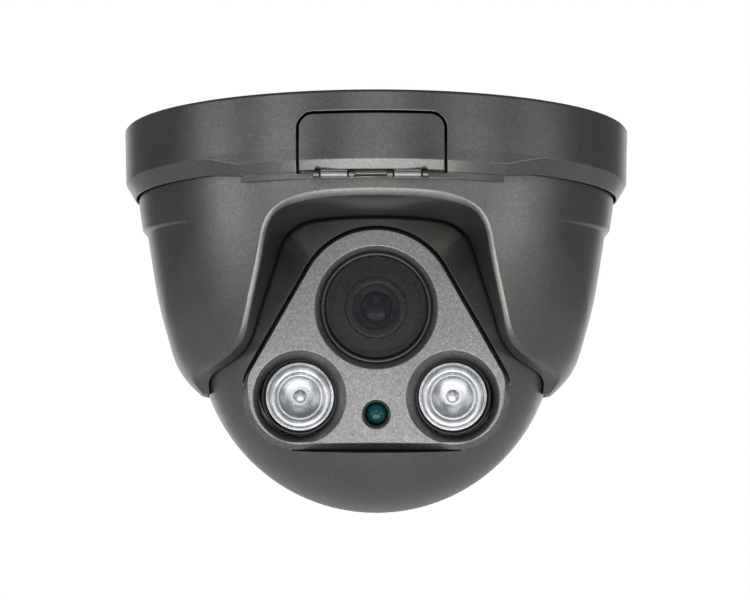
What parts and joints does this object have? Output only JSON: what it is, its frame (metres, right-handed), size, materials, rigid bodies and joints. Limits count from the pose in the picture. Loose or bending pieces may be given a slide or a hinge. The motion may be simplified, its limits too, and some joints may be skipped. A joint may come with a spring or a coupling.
{
  "type": "dome cctv camera",
  "caption": "Ceiling-hung turret camera: ring with access door, notched bowl that pans, ball that tilts with a lens window, infrared lamps and light sensor on its face plate.",
  "frame": {"origin": "centre of the ceiling face, on the pan axis", "axes": "+Z out of the ceiling face, up; the lens looks along -Y; +X is to the right seen from in front"},
  "size_m": [0.1208, 0.1208, 0.0909],
  "materials": {
    "graphite_paint": "graphite metallic paint with a fine flake, satin",
    "face_paint": "light grey metallic paint, satin",
    "black_plastic": "black moulded, fine texture",
    "black_rubber": "black, slightly glossy",
    "window_glass": "flat tinted glass",
    "lens_glass": "coated lens glass, purple reflection",
    "led_lens": "clear moulded lens over a bright reflector",
    "led_chip": "white carrier with a pale array",
    "screw_steel": "zinc plated",
    "bushing_brass": "turned",
    "washer_nylon": "natural acetal",
    "hinge_grey": "light grey moulded",
    "heat_sink_metal": "die-cast",
    "circuit_board": "green solder mask",
    "chip_black": "moulded package",
    "connector_white": "natural nylon",
    "filter_black": "black moulded",
    "filter_red": "infrared cut filter",
    "filter_clear": "clear filter",
    "sensor_green": "dark green epoxy, glossy"
  },
  "bodies": {
    "base": {"mounting_plate": "black_plastic", "base_ring": "graphite_paint", "ceiling_gasket": "black_rubber", "cable_grommet": "black_rubber", "ring_screws": "screw_steel", "lock_screw": "screw_steel", "door_hinge_pin": "screw_steel", "pan_friction_ring": "washer_nylon", "pan_retainer_ring": "black_plastic", "retainer_screws": "screw_steel"},
    "door": {"access_door": "graphite_paint", "door_hinge_tabs": "hinge_grey"},
    "shell": {"dome_shell": "graphite_paint", "tilt_bushing_left": "bushing_brass", "tilt_bushing_right": "bushing_brass"},
    "lens": {"lens_barrel": "black_plastic", "lens_front_element": "lens_glass", "focus_lock_ring": "black_plastic"},
    "filter": {"filter_frame": "filter_black", "ir_filter": "filter_red", "clear_filter": "filter_clear"},
    "ball": {"array_led_left": "led_chip", "array_led_right": "led_chip", "ball_cable_gland": "black_rubber", "ball_front": "graphite_paint", "ball_rear": "graphite_paint", "ball_screws": "screw_steel", "ball_seal": "black_rubber", "board_ribbon": "connector_white", "board_screws": "screw_steel", "board_standoffs": "bushing_brass", "face_plate": "face_paint", "filter_coil": "chip_black", "heat_sink": "heat_sink_metal", "heat_sink_screws": "screw_steel", "holder_screws": "screw_steel", "image_processor": "chip_black", "image_sensor": "chip_black", "ir_board": "circuit_board", "led_lens_left": "led_lens", "led_lens_right": "led_lens", "led_seal_left": "black_rubber", "led_seal_right": "black_rubber", "lens_holder": "black_plastic", "lens_shroud": "black_plastic", "light_sensor": "sensor_green", "main_board": "circuit_board", "power_connector": "connector_white", "sensor_board": "circuit_board", "tilt_pivot_left": "screw_steel", "tilt_pivot_right": "screw_steel", "tilt_washer_left": "washer_nylon", "tilt_washer_right": "washer_nylon", "video_connector": "connector_white", "window_gasket": "black_rubber", "window_glass": "window_glass", "window_ring": "black_plastic"}
  },
  "joints": [
    {"name": "pan", "type": "hinge", "parent": "base", "child": "shell", "pos_m": [0, 0, -0.012], "axis": [0, 0, 1], "range_deg": [-175, 175]},
    {"name": "tilt", "type": "hinge", "parent": "shell", "child": "ball", "pos_m": [0, 0, -0.0483], "axis": [1, 0, 0], "range_deg": [-5, 80]},
    {"name": "door_hinge", "type": "hinge", "parent": "base", "child": "door", "pos_m": [-0.00101, -0.05814, -0.018], "axis": [0.9998, -0.0175, 0], "range_deg": [0, 75]},
    {"name": "focus_turn", "type": "hinge", "parent": "ball", "child": "lens", "pos_m": [0, -0.01559, -0.04287], "axis": [0, -0.9954, -0.0958], "range_deg": [-180, 180]},
    {"name": "filter_slide", "type": "slide", "parent": "ball", "child": "filter", "axis": [1, 0, 0], "range_m": [0, 0.0068]}
  ]
}
